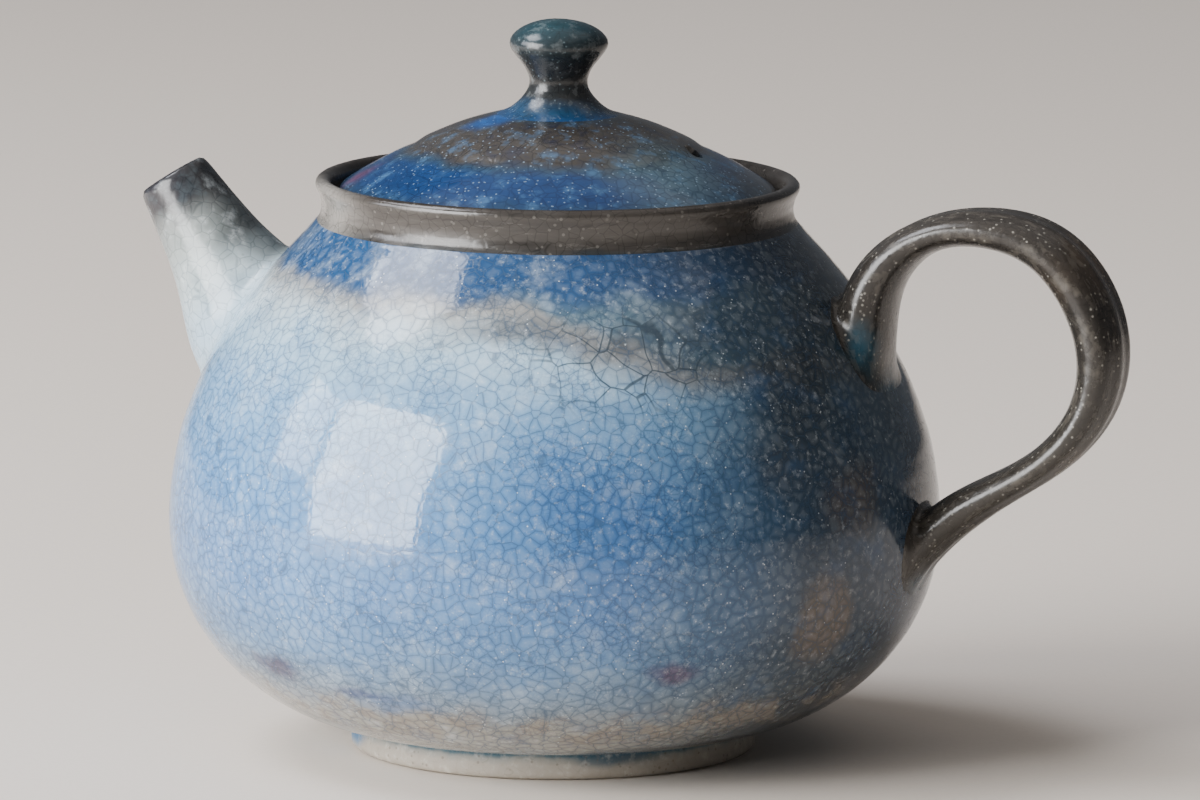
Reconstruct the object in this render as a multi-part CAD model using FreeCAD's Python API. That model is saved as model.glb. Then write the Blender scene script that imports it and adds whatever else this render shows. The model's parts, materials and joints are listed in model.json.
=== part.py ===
import FreeCAD, Part
import math
import os

from FreeCAD import Vector

# A small wheel-thrown teapot with a loose lid. Millimetres, +Z up. The origin is where the pot's
# turning axis meets the table, the handle points along +X and the spout along -X.
# Radii are measured from the turning axis and heights from the table, unless a comment says otherwise.

# Driving dimensions: thrown body
BELLY_RADIUS = 50.4
BELLY_HEIGHT = 29.7
NECK_RADIUS = 31.3
NECK_HEIGHT = 69.0
SHOULDER_POWER = 2.1  # higher keeps the belly full further up before the shoulder falls in
WALL = 3.2
FLOOR = 3.6
BASE_RADIUS = 22.0  # flat part of the underside, inside the foot ring

# Driving dimensions: foot ring
FOOT_HEIGHT = 3.0  # depth of the recess under the floor
FOOT_RADIUS = 26.0
FOOT_WIDTH = 4.2
FOOT_FLARE = 0.5  # the ring is this much wider where it touches the table
FOOT_EDGE = 0.6

# Driving dimensions: collar with its gallery
COLLAR_HEIGHT = 6.0
COLLAR_WAIST = 0.6
LIP_FLARE = 0.4
LIP_WIDTH = 2.3
GALLERY_DEPTH = 3.1
GALLERY_WIDTH = 4.8
GALLERY_THICKNESS = 2.0

# Driving dimensions: lid
LID_GAP = 0.8
SEAT_GAP = 0.05
LID_EDGE = 1.6
LID_THICKNESS = 2.8
LID_RISE = 11.4  # from the seat to the top of the boss
BOSS_RADIUS = 18.1
BOSS_RISE = 4.5
BOSS_STEP = 0.7
FLANGE_GAP = 0.5
FLANGE_WIDTH = 2.4
FLANGE_DEPTH = 5.0
VENT_RADIUS = 1.2
VENT_FROM_BOSS = 0.5

# Driving dimensions: knob
KNOB_HEIGHT = 12.3
KNOB_RADIUS = 6.6
KNOB_NECK = 3.7
KNOB_FOOT = 7.6

# Driving dimensions: spout and strainer
SPOUT_ROOT_BELOW_NECK = 13.0  # where the spout's axis meets the pot's skin
SPOUT_ANGLE = 56.5
SPOUT_TIP_BELOW_RIM = 2.4  # middle of the mouth, so its upper edge is level with the rim
SPOUT_ROOT_RADIUS = 9.4
SPOUT_FLARE = 0.4  # added at the inner end of the plug that the spout is cut from
SPOUT_ROOT_DEPTH = 8.0  # how far that plug goes in behind the pot's skin, so that its underside meets it
SPOUT_TIP_RADIUS = 4.8
SPOUT_WALL = 2.4
SPOUT_TIP_WALL = 1.1
SPOUT_HOLE_RADIUS = 6.4  # hole in the pot's wall, square to it, behind the spout
STRAINER_RADIUS = 9.4
STRAINER_WALL = 1.6
STRAINER_HOLE_RADIUS = 0.9
STRAINER_RINGS = ((0, 1), (22, 6), (44, 12))  # angle from the dome's axis, number of holes

# Driving dimensions: handle
HANDLE_REACH = 23.8  # from the belly to the middle of the strap, at its furthest
HANDLE_TOP_BELOW_RIM = 3.7
HANDLE_END_BELOW_NECK = 21.5  # both ends are pressed on, lie along the wall and run out in it
HANDLE_END_BELOW_BELLY = 7.7
ROOT_DEPTH = 2.8  # how far the middle of each end is inside the skin before it is trimmed
STRAP_WIDTH = 12.0
STRAP_THICKNESS = 5.6

# Clay coils worked into the joints
COIL_RISE = 1.2
COIL_WIDTH = 1.6

RIM_HEIGHT = NECK_HEIGHT + COLLAR_HEIGHT
SEAT_HEIGHT = RIM_HEIGHT - GALLERY_DEPTH
LIP_RADIUS = NECK_RADIUS + LIP_FLARE
LIP_INNER = LIP_RADIUS - LIP_WIDTH
MOUTH_RADIUS = LIP_INNER - GALLERY_WIDTH
LID_RADIUS = LIP_INNER - LID_GAP
FLANGE_RADIUS = MOUTH_RADIUS - FLANGE_GAP
BOSS_TOP = SEAT_HEIGHT + SEAT_GAP + LID_RISE
KNOB_TOP = BOSS_TOP + KNOB_HEIGHT
SPOUT_ROOT_HEIGHT = NECK_HEIGHT - SPOUT_ROOT_BELOW_NECK

AXIS = Vector(0, 0, 1)
ORIGIN = Vector(0, 0, 0)


def in_plane(radius, height):
    return Vector(radius, 0, height)


def line(a, b):
    return Part.LineSegment(in_plane(*a), in_plane(*b)).toShape()


def lines(*points):
    return [line(a, b) for a, b in zip(points, points[1:])]


def arc(a, through, b):
    return Part.Arc(in_plane(*a), in_plane(*through), in_plane(*b)).toShape()


def curve(*points):
    spline = Part.BSplineCurve()
    spline.interpolate([in_plane(*p) for p in points])
    return spline.toShape()


def turned(edges):
    """The solid that a closed outline in the XZ plane sweeps in a full turn about the pot's axis."""
    return Part.Face(Part.Wire(edges)).revolve(ORIGIN, AXIS, 360)


def shoulder_radius(height, offset):
    """Radius above the belly, on a surface that stands `offset` outside the pot's skin."""
    rise = (height - BELLY_HEIGHT) / (NECK_HEIGHT - BELLY_HEIGHT)
    return BELLY_RADIUS + offset - (BELLY_RADIUS - NECK_RADIUS) * rise**SHOULDER_POWER


def belly_radius(height):
    """Radius of the pot's skin below the widest part of the belly."""
    drop = (BELLY_HEIGHT - height) / (BELLY_HEIGHT - FOOT_HEIGHT)
    return BASE_RADIUS + (BELLY_RADIUS - BASE_RADIUS) * math.sqrt(1 - drop**2)


def bowl(offset, lowest):
    """A solid of the pot's form: quarter ellipse below the belly, power curve above it, flat ends."""
    belly = BELLY_RADIUS + offset
    across, down = belly - BASE_RADIUS, BELLY_HEIGHT - lowest
    ellipse = [
        (BASE_RADIUS + across * math.sin(a), BELLY_HEIGHT - down * math.cos(a))
        for a in (math.radians(d) for d in range(0, 91, 15))
    ]
    steps = 8
    heights = [BELLY_HEIGHT + (NECK_HEIGHT - BELLY_HEIGHT) * i / steps for i in range(1, steps + 1)]
    skin = curve(*ellipse, *[(shoulder_radius(h, offset), h) for h in heights])
    top = (shoulder_radius(NECK_HEIGHT, offset), NECK_HEIGHT)
    return turned([skin] + lines(top, (0, NECK_HEIGHT), (0, lowest), ellipse[0]))


def outer_form():
    return bowl(0, FOOT_HEIGHT)


def cavity_form():
    return bowl(-WALL, FOOT_HEIGHT + FLOOR)


def spout_root():
    return Vector(-shoulder_radius(SPOUT_ROOT_HEIGHT, 0), 0, SPOUT_ROOT_HEIGHT)


def spout_direction():
    angle = math.radians(SPOUT_ANGLE)
    return Vector(-math.cos(angle), 0, math.sin(angle))


def spout_length():
    tip_height = RIM_HEIGHT - SPOUT_TIP_BELOW_RIM
    return (tip_height - SPOUT_ROOT_HEIGHT) / math.sin(math.radians(SPOUT_ANGLE))


def spout_form(extra, wall_root, wall_tip, flare):
    """A tapering round plug on the spout's axis, from well behind the pot's skin to the mouth."""
    length = spout_length()
    root = SPOUT_ROOT_RADIUS + extra - wall_root
    tip = SPOUT_TIP_RADIUS + extra - wall_tip
    drop = root - tip
    side = curve(
        (root + flare, -SPOUT_ROOT_DEPTH),
        (root, 0),
        (tip + 0.52 * drop, 0.33 * length),
        (tip + 0.20 * drop, 0.68 * length),
        (tip, length),
    )
    depth = SPOUT_ROOT_DEPTH
    plug = turned([side] + lines((tip, length), (0, length), (0, -depth), (root + flare, -depth)))
    turn = FreeCAD.Rotation(AXIS, spout_direction())
    plug.Placement = FreeCAD.Placement(spout_root(), turn)
    return plug


def channel_form():
    return spout_form(0, SPOUT_WALL, SPOUT_TIP_WALL, 0.5 * SPOUT_FLARE)


def wall_normal():
    """Unit vector pointing out of the wall at the root of the spout."""
    step = 0.5
    above = shoulder_radius(SPOUT_ROOT_HEIGHT + step, 0)
    below = shoulder_radius(SPOUT_ROOT_HEIGHT - step, 0)
    return Vector(-1, 0, (below - above) / (2 * step)).normalize()


def make_body():
    depth = 3 * WALL
    start = spout_root() - wall_normal() * depth / 2
    hole = Part.makeCylinder(SPOUT_HOLE_RADIUS, depth, start, wall_normal())
    return outer_form().cut(cavity_form()).cut(hole)


def make_foot_ring():
    outer, inner = FOOT_RADIUS, FOOT_RADIUS - FOOT_WIDTH
    flared = outer + FOOT_FLARE
    top = FOOT_HEIGHT + FOOT_WIDTH  # runs into the bowl, which trims it
    edges = lines((inner, top), (inner, 0), (flared - FOOT_EDGE, 0))
    edges.append(arc(
        (flared - FOOT_EDGE, 0),
        (flared - 0.3 * FOOT_EDGE, 0.3 * FOOT_EDGE),
        (flared, FOOT_EDGE),
    ))
    edges += lines((flared, FOOT_EDGE), (outer, top), (inner, top))
    return turned(edges).cut(outer_form())


def make_collar():
    wall_inner = NECK_RADIUS - WALL
    lip_middle = LIP_RADIUS - LIP_WIDTH / 2
    rounding = LIP_WIDTH / 2
    outside = curve(
        (NECK_RADIUS, NECK_HEIGHT),
        (NECK_RADIUS - COLLAR_WAIST, NECK_HEIGHT + 0.4 * COLLAR_HEIGHT),
        (LIP_RADIUS, RIM_HEIGHT - rounding),
    )
    lip = arc(
        (LIP_RADIUS, RIM_HEIGHT - rounding),
        (lip_middle, RIM_HEIGHT),
        (LIP_INNER, RIM_HEIGHT - rounding),
    )
    inside = lines(
        (LIP_INNER, RIM_HEIGHT - rounding),
        (LIP_INNER, SEAT_HEIGHT),
        (MOUTH_RADIUS, SEAT_HEIGHT),
        (MOUTH_RADIUS, SEAT_HEIGHT - GALLERY_THICKNESS),
        (wall_inner, NECK_HEIGHT),
        (NECK_RADIUS, NECK_HEIGHT),
    )
    return turned([outside, lip] + inside)


def make_spout():
    return spout_form(0, 0, 0, SPOUT_FLARE).cut(channel_form()).cut(outer_form())


def make_strainer():
    centre = spout_root() - wall_normal() * WALL
    dome = Part.makeSphere(STRAINER_RADIUS, centre)
    dome = dome.cut(Part.makeSphere(STRAINER_RADIUS - STRAINER_WALL, centre))
    inward = wall_normal() * -1
    across = Vector(0, 1, 0)
    for tilt, count in STRAINER_RINGS:
        tilted = FreeCAD.Rotation(across, tilt).multVec(inward)
        for i in range(count):
            way = FreeCAD.Rotation(inward, 360 * i / count).multVec(tilted)
            dome = dome.cut(Part.makeCylinder(STRAINER_HOLE_RADIUS, 2 * STRAINER_RADIUS, centre, way))
    return dome.common(cavity_form())


def handle_path():
    """Middle line of the strap, from its upper end round to its lower end."""
    top = RIM_HEIGHT - HANDLE_TOP_BELOW_RIM
    upper_end = NECK_HEIGHT - HANDLE_END_BELOW_NECK
    lower_end = BELLY_HEIGHT - HANDLE_END_BELOW_BELLY
    upper = (shoulder_radius(upper_end, -ROOT_DEPTH), upper_end)
    lower = (belly_radius(lower_end) - ROOT_DEPTH, lower_end)
    # Shares of the reach beyond the belly, and of the height from the widest belly to the top.
    loop = ((-0.34, 0.66), (-0.29, 0.80), (-0.15, 0.91), (0.06, 0.98), (0.33, 1.00), (0.66, 0.95),
            (0.90, 0.80), (0.99, 0.62), (0.94, 0.46), (0.71, 0.29), (0.33, 0.15), (0.06, 0.03))
    points = [
        (BELLY_RADIUS + x * HANDLE_REACH, BELLY_HEIGHT + z * (top - BELLY_HEIGHT)) for x, z in loop
    ]
    return curve(upper, *points, lower)


def strap_share(along):
    """Width and thickness of the strap, as shares of its middle size, at a share of its length."""
    stations = ((0.0, 1.20, 0.45), (0.08, 1.15, 1.20), (0.16, 1.06, 1.16), (0.24, 1.00, 0.86),
                (0.34, 1.00, 0.92), (0.46, 1.02, 1.18), (0.58, 1.00, 1.10), (0.68, 0.94, 0.88),
                (0.78, 0.90, 0.82), (0.90, 1.00, 1.00), (1.0, 1.20, 0.45))
    for (a, wide, thick), (b, next_wide, next_thick) in zip(stations, stations[1:]):
        if along <= b:
            part = (along - a) / (b - a)
            return wide + part * (next_wide - wide), thick + part * (next_thick - thick)
    return stations[-1][1:]


def handle_form(extra):
    path = handle_path()
    sections = 17
    wires = []
    for i in range(sections):
        along = i / (sections - 1)
        at = path.getParameterByLength(along * path.Length)
        centre = path.valueAt(at)
        tangent = path.tangentAt(at)
        across = Vector(0, 1, 0)
        outward = tangent.cross(across).normalize()
        wide, thick = strap_share(along)
        half_width = STRAP_WIDTH * wide / 2 + extra
        half_thickness = STRAP_THICKNESS * thick / 2 + extra
        oval = Part.Ellipse(centre + across * half_width, centre + outward * half_thickness, centre)
        wires.append(Part.Wire(oval.toShape()))
    return Part.makeLoft(wires, True)


def make_handle():
    return handle_form(0).cut(outer_form())


def handle_coils():
    """The two clay coils round the strap's ends, upper first."""
    band = bowl(COIL_RISE, FOOT_HEIGHT)
    coils = handle_form(COIL_WIDTH).common(band).cut(handle_form(0)).cut(outer_form())
    return sorted(coils.Solids, key=lambda s: -s.BoundBox.ZMax)[:2]


def make_spout_coil():
    band = bowl(COIL_RISE, FOOT_HEIGHT)
    ring = spout_form(COIL_WIDTH, 0, 0, SPOUT_FLARE).common(band)
    return ring.cut(spout_form(0, 0, 0, SPOUT_FLARE)).cut(outer_form())


def make_lid_plate():
    seat = SEAT_HEIGHT + SEAT_GAP
    hollow = FLANGE_RADIUS - FLANGE_WIDTH
    boss_foot = BOSS_TOP - BOSS_RISE
    edge_top = seat + LID_EDGE
    rounding = 0.5
    slope = curve(
        (LID_RADIUS - rounding, edge_top + rounding / 2),
        ((LID_RADIUS + BOSS_RADIUS) / 2, edge_top + 0.60 * (boss_foot - edge_top)),
        (BOSS_RADIUS + BOSS_STEP, boss_foot),
    )
    step = lines((BOSS_RADIUS + BOSS_STEP, boss_foot), (BOSS_RADIUS, boss_foot + BOSS_STEP))
    boss_rise = BOSS_RISE - BOSS_STEP
    boss = curve(
        (BOSS_RADIUS, boss_foot + BOSS_STEP),
        ((BOSS_RADIUS + KNOB_FOOT) / 2, BOSS_TOP - 0.40 * boss_rise),
        (KNOB_FOOT, BOSS_TOP),
    )
    under = curve(
        (0, BOSS_TOP - LID_THICKNESS),
        (0.5 * hollow, BOSS_TOP - LID_THICKNESS - 0.28 * BOSS_RISE),
        (hollow, seat),
    )
    edges = lines((hollow, seat), (LID_RADIUS, seat), (LID_RADIUS, edge_top))
    edges += lines((LID_RADIUS, edge_top), (LID_RADIUS - rounding, edge_top + rounding / 2))
    edges += [slope] + step + [boss]
    edges += lines((KNOB_FOOT, BOSS_TOP), (0, BOSS_TOP), (0, BOSS_TOP - LID_THICKNESS)) + [under]
    vent_foot = Vector(BOSS_RADIUS + VENT_FROM_BOSS, 0, NECK_HEIGHT)
    vent = Part.makeCylinder(VENT_RADIUS, 3 * LID_RISE, vent_foot)
    return turned(edges).cut(vent)


def make_lid_flange():
    seat = SEAT_HEIGHT + SEAT_GAP
    low = seat - FLANGE_DEPTH
    inner = FLANGE_RADIUS - FLANGE_WIDTH
    middle = FLANGE_RADIUS - FLANGE_WIDTH / 2
    rounding = FLANGE_WIDTH / 2
    inner_low, outer_low = (inner, low + rounding), (FLANGE_RADIUS, low + rounding)
    edges = lines(inner_low, (inner, seat), (FLANGE_RADIUS, seat), outer_low)
    edges.append(arc(outer_low, (middle, low), inner_low))
    return turned(edges)


def make_knob():
    side = curve(
        (KNOB_FOOT, BOSS_TOP),
        ((KNOB_FOOT + 2 * KNOB_NECK) / 3, BOSS_TOP + 0.14 * KNOB_HEIGHT),
        (KNOB_NECK, BOSS_TOP + 0.32 * KNOB_HEIGHT),
        ((KNOB_RADIUS + KNOB_NECK) / 2, BOSS_TOP + 0.57 * KNOB_HEIGHT),
        (KNOB_RADIUS, BOSS_TOP + 0.72 * KNOB_HEIGHT),
    )
    crown = 0.28 * KNOB_HEIGHT
    cap = curve(*[
        (KNOB_RADIUS * math.cos(a), KNOB_TOP - crown + crown * math.sin(a))
        for a in (math.radians(d) for d in range(0, 91, 15))
    ])
    return turned([side, cap] + lines((0, KNOB_TOP), (0, BOSS_TOP), (KNOB_FOOT, BOSS_TOP)))


def save(name, shape):
    solids = shape.Solids
    whole = solids[0] if len(solids) == 1 else Part.makeCompound(solids)
    whole.exportStep(f"parts/{name}.step")
    box = whole.BoundBox
    print(f"{name}: {len(solids)} solid, {whole.Volume / 1000:.2f} cm3, valid {whole.isValid()}, "
          f"x {box.XMin:.1f}..{box.XMax:.1f} z {box.ZMin:.1f}..{box.ZMax:.1f}")


os.makedirs("parts", exist_ok=True)
upper_coil, lower_coil = handle_coils()
save("body", make_body())
save("foot_ring", make_foot_ring())
save("collar", make_collar())
save("spout", make_spout())
save("spout_joint_coil", make_spout_coil())
save("strainer", make_strainer())
save("handle", make_handle())
save("handle_upper_joint_coil", upper_coil)
save("handle_lower_joint_coil", lower_coil)
save("lid_plate", make_lid_plate())
save("lid_flange", make_lid_flange())
save("knob", make_knob())
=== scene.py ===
import json
import math

import bmesh
import bpy
import numpy as np
from mathutils import Matrix, Vector
from mathutils.bvhtree import BVHTree

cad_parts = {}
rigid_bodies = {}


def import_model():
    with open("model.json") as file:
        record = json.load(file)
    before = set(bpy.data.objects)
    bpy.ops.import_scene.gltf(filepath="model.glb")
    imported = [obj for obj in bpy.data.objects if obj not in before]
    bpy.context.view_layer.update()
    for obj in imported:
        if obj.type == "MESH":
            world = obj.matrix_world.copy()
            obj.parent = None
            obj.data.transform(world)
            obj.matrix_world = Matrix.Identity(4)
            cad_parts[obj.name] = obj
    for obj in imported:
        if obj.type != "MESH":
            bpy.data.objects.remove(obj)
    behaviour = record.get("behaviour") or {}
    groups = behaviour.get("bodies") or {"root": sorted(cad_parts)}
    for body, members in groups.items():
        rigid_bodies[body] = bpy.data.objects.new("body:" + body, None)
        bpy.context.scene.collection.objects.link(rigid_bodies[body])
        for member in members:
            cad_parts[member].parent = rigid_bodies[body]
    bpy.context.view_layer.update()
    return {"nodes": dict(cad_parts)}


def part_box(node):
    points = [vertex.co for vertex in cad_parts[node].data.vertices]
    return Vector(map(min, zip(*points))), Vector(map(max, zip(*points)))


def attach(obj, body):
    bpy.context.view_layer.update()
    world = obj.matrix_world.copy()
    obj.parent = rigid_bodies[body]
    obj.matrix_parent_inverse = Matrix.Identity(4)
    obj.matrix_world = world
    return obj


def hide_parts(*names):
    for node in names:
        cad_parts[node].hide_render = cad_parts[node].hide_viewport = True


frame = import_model()
print("frame loaded:", len(frame["nodes"]), "nodes")

mm = 0.001
viewAngle = math.radians(17.5)  # the camera stands this far round from -Y towards the handle


# adds a node, sets it up and fills its inputs: a node or a socket is linked, anything else is its value
def add(tree, kind, settings=None, links=None):
    made = tree.nodes.new(kind)
    for key, value in (settings or {}).items():
        if key == "stops":  # colour ramp: (place, colour) pairs
            ramp = made.color_ramp
            while len(ramp.elements) < len(value):
                ramp.elements.new(0.5)
            for element, (place, colour) in zip(ramp.elements, value):
                element.position = place
                element.color = colour
        elif key == "bends":  # float curve: (x, y) pairs
            line = made.mapping.curves[0]
            while len(line.points) < len(value):
                line.points.new(0.5, 0.5)
            for point, (x, y) in zip(line.points, value):
                point.location = (x, y)
            made.mapping.update()
        else:
            setattr(made, key, value)
    for key, value in (links or {}).items():
        socket = made.inputs[key]
        if isinstance(value, bpy.types.Node):
            value = value.outputs[0]
        if isinstance(value, bpy.types.NodeSocket):
            tree.links.new(value, socket)
        else:
            socket.default_value = value
    return made


# sRGB hex to linear colour
def paint(hexCode):
    parts = [int(hexCode[i:i + 2], 16) / 255 for i in (0, 2, 4)]
    return tuple(c / 12.92 if c <= 0.04045 else ((c + 0.055) / 1.055) ** 2.4 for c in parts) + (1.0,)


# what the frame gives

def mergedCopy(node):
    bm = bmesh.new()
    bm.from_mesh(frame["nodes"][node].data)
    bmesh.ops.remove_doubles(bm, verts=bm.verts, dist=1e-6)
    return bm


# the half outline of a turned CAD node, as (radius, height) in metres, in order round its section
def outlineOf(node, place=None):
    bm = mergedCopy(node)
    if place is not None:
        bmesh.ops.transform(bm, matrix=place, verts=bm.verts)
    for normal in ((0, 1, 0), (1, 0, 0)):
        found = bmesh.ops.bisect_plane(bm, geom=bm.verts[:] + bm.edges[:] + bm.faces[:], dist=1e-7,
                                       plane_co=(0, 0, 0), plane_no=normal, clear_outer=True)
    cut = [e for e in found["geom_cut"] if isinstance(e, bmesh.types.BMEdge)]
    cut = [e for e in cut if max(abs(v.co.x) for v in e.verts) < 1e-6]
    near = {}
    for e in cut:
        a, b = [(round(-v.co.y, 7), round(v.co.z, 7)) for v in e.verts]
        if a != b and not (a[0] < 1e-6 and b[0] < 1e-6):
            near.setdefault(a, set()).add(b)
            near.setdefault(b, set()).add(a)
    bm.free()
    ends = sorted(p for p in near if len(near[p]) == 1)
    start = max(ends, key=lambda p: p[1]) if ends else min(near)
    chain, last = [start], None
    while True:
        onward = [p for p in near[chain[-1]] if p != last]
        if not onward or onward[0] == start:
            break
        last = chain[-1]
        chain.append(onward[0])
        if len(chain) > len(near) + 1:
            break
    return chain, not ends


def treeOf(node):
    mesh = frame["nodes"][node].data
    mesh.calc_loop_triangles()
    return BVHTree.FromPolygons([v.co.copy() for v in mesh.vertices],
                                [tuple(t.vertices) for t in mesh.loop_triangles])


wallTree = treeOf("body")
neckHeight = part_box("body")[1].z
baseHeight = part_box("body")[0].z
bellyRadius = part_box("body")[1].y
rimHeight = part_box("collar")[1].z


outOfRound = 0.00012  # how far every turned piece leans out of round, in three soft lobes

# how far the pot's skin is from the axis, read off the CAD at many heights on the plain side
skinHeights = np.linspace(baseHeight + 0.0004, neckHeight - 0.0001, 240)
skinRadii = np.array([-wallTree.ray_cast(Vector((0, -0.2, h)), Vector((0, 1, 0)))[0].y for h in skinHeights])


def skinAt(height):
    return float(np.interp(height, skinHeights, skinRadii))


def skinSlope(height):
    return (skinAt(height - 0.0006) - skinAt(height + 0.0006)) / 0.0012


# height above the pot's skin, measured square to it, and the skin's outward direction
def overSkin(p):
    slope = skinSlope(p[2])
    out = math.hypot(p[0], p[1])
    tilt = math.hypot(1, slope)
    lobes = outOfRound * math.sin(3 * math.atan2(p[1], p[0]) + 0.8)
    return (out - skinAt(p[2]) - lobes) / tilt, np.array([p[0] / out, p[1] / out, slope]) / tilt


# turned pieces: one Geometry Nodes tree spins an outline round the axis

def thrownTree():
    tree = bpy.data.node_groups.new("thrownOnTheWheel", "GeometryNodeTree")
    tree.is_modifier = True
    face = tree.interface
    face.new_socket("Geometry", in_out="INPUT", socket_type="NodeSocketGeometry")
    for name, kind, value in (
        ("Steps Round", "NodeSocketInt", 256),
        ("Rows", "NodeSocketInt", 100),
        ("Ring Spacing", "NodeSocketFloat", 0.003),
        ("Ring Depth", "NodeSocketFloat", 0.00003),
        ("Ring Seed", "NodeSocketFloat", 1.0),
        ("Out Of Round", "NodeSocketFloat", 0.0001),
    ):
        face.new_socket(name, in_out="INPUT", socket_type=kind).default_value = value
    face.new_socket("Material", in_out="INPUT", socket_type="NodeSocketMaterial")
    face.new_socket("Geometry", in_out="OUTPUT", socket_type="NodeSocketGeometry")
    given = add(tree, "NodeGroupInput").outputs
    outline = add(tree, "GeometryNodeMeshToCurve", None, {"Mesh": given["Geometry"]})
    steps = add(tree, "ShaderNodeMath", {"operation": "ADD"}, {0: given["Steps Round"], 1: 1.0})
    sheet = add(tree, "GeometryNodeMeshGrid", None, {
        "Size X": 1.0, "Size Y": 1.0, "Vertices X": steps, "Vertices Y": given["Rows"]})
    place = add(tree, "ShaderNodeSeparateXYZ", None, {0: add(tree, "GeometryNodeInputPosition")})
    turn = add(tree, "ShaderNodeMath", {"operation": "MULTIPLY_ADD"}, {
        0: place.outputs["X"], 1: 2 * math.pi, 2: math.pi})
    along = add(tree, "ShaderNodeMath", {"operation": "ADD"}, {0: place.outputs["Y"], 1: 0.5})
    spot = add(tree, "GeometryNodeSampleCurve", {"mode": "FACTOR"}, {
        "Curves": outline, "Factor": along})
    flat = add(tree, "ShaderNodeSeparateXYZ", None, {0: spot.outputs["Position"]})
    # fine rings left by the fingers: a slow noise over the height, tipped a little to one side
    sway = add(tree, "ShaderNodeMath", {"operation": "SINE"}, {0: turn})
    tipped = add(tree, "ShaderNodeMath", {"operation": "MULTIPLY"}, {0: sway, 1: given["Ring Spacing"]})
    climb = add(tree, "ShaderNodeMath", {"operation": "MULTIPLY"}, {0: tipped, 1: 0.35})
    level = add(tree, "ShaderNodeMath", {"operation": "ADD"}, {0: flat.outputs["Z"], 1: climb})
    count = add(tree, "ShaderNodeMath", {"operation": "DIVIDE"}, {0: level, 1: given["Ring Spacing"]})
    shift = add(tree, "ShaderNodeMath", {"operation": "ADD"}, {0: count, 1: given["Ring Seed"]})
    rings = add(
        tree, "ShaderNodeTexNoise", {"noise_dimensions": "1D"}, {"W": shift, "Scale": 1.0, "Detail": 2.0})
    ring = add(tree, "ShaderNodeMath", {"operation": "MULTIPLY_ADD"}, {0: rings, 1: 2.0, 2: -1.0})
    relief = add(tree, "ShaderNodeMath", {"operation": "MULTIPLY"}, {0: ring, 1: given["Ring Depth"]})
    # a slightly three-sided lean out of round, the same for every piece, so that they still fit
    thrice = add(tree, "ShaderNodeMath", {"operation": "MULTIPLY_ADD"}, {0: turn, 1: 3.0, 2: 0.8})
    lobes = add(tree, "ShaderNodeMath", {"operation": "SINE"}, {0: thrice})
    lean = add(tree, "ShaderNodeMath", {"operation": "MULTIPLY_ADD"}, {
        0: lobes, 1: given["Out Of Round"], 2: relief})
    offAxis = add(
        tree, "ShaderNodeMapRange", None, {"Value": flat.outputs["X"], "From Min": 0.0, "From Max": 0.004})
    extra = add(tree, "ShaderNodeMath", {"operation": "MULTIPLY"}, {0: lean, 1: offAxis})
    radius = add(tree, "ShaderNodeMath", {"operation": "ADD"}, {0: flat.outputs["X"], 1: extra})
    cosine = add(tree, "ShaderNodeMath", {"operation": "COSINE"}, {0: turn})
    sine = add(tree, "ShaderNodeMath", {"operation": "SINE"}, {0: turn})
    across = add(tree, "ShaderNodeMath", {"operation": "MULTIPLY"}, {0: radius, 1: cosine})
    away = add(tree, "ShaderNodeMath", {"operation": "MULTIPLY"}, {0: radius, 1: sine})
    target = add(tree, "ShaderNodeCombineXYZ", None, {"X": across, "Y": away, "Z": flat.outputs["Z"]})
    thrown = add(
        tree, "GeometryNodeSetPosition", None, {"Geometry": sheet.outputs["Mesh"], "Position": target})
    closed = add(tree, "GeometryNodeMergeByDistance", None, {"Geometry": thrown, "Distance": 2e-6})
    smooth = add(tree, "GeometryNodeSetShadeSmooth", None, {"Geometry": closed})
    real = add(tree, "GeometryNodeRealizeInstances", None, {"Geometry": smooth})
    dressed = add(tree, "GeometryNodeSetMaterial", None, {"Geometry": real, "Material": given["Material"]})
    add(tree, "NodeGroupOutput", None, {"Geometry": dressed})
    return tree


# runs a tree on a starting mesh and keeps the plain result
def settle(name, mesh, tree, values):
    start = bpy.data.objects.new(name + "Start", mesh)
    bpy.context.scene.collection.objects.link(start)
    modifier = start.modifiers.new("nodes", "NODES")
    modifier.node_group = tree
    for item in tree.interface.items_tree:
        if item.item_type == "SOCKET" and item.in_out == "INPUT" and item.name in values:
            modifier[item.identifier] = values[item.name]
    bpy.context.view_layer.update()
    seen = start.evaluated_get(bpy.context.evaluated_depsgraph_get())
    plain = bpy.data.meshes.new_from_object(seen)
    bpy.data.objects.remove(start)
    return newPiece(name, plain)


def newPiece(name, mesh):
    mesh.name = name
    made = bpy.data.objects.new(name, mesh)
    bpy.context.scene.collection.objects.link(made)
    return made


def outward(piece):
    bm = bmesh.new()
    bm.from_mesh(piece.data)
    bmesh.ops.remove_doubles(bm, verts=bm.verts, dist=1e-7)
    bmesh.ops.recalc_face_normals(bm, faces=bm.faces)
    bm.to_mesh(piece.data)
    bm.free()
    return piece


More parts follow.
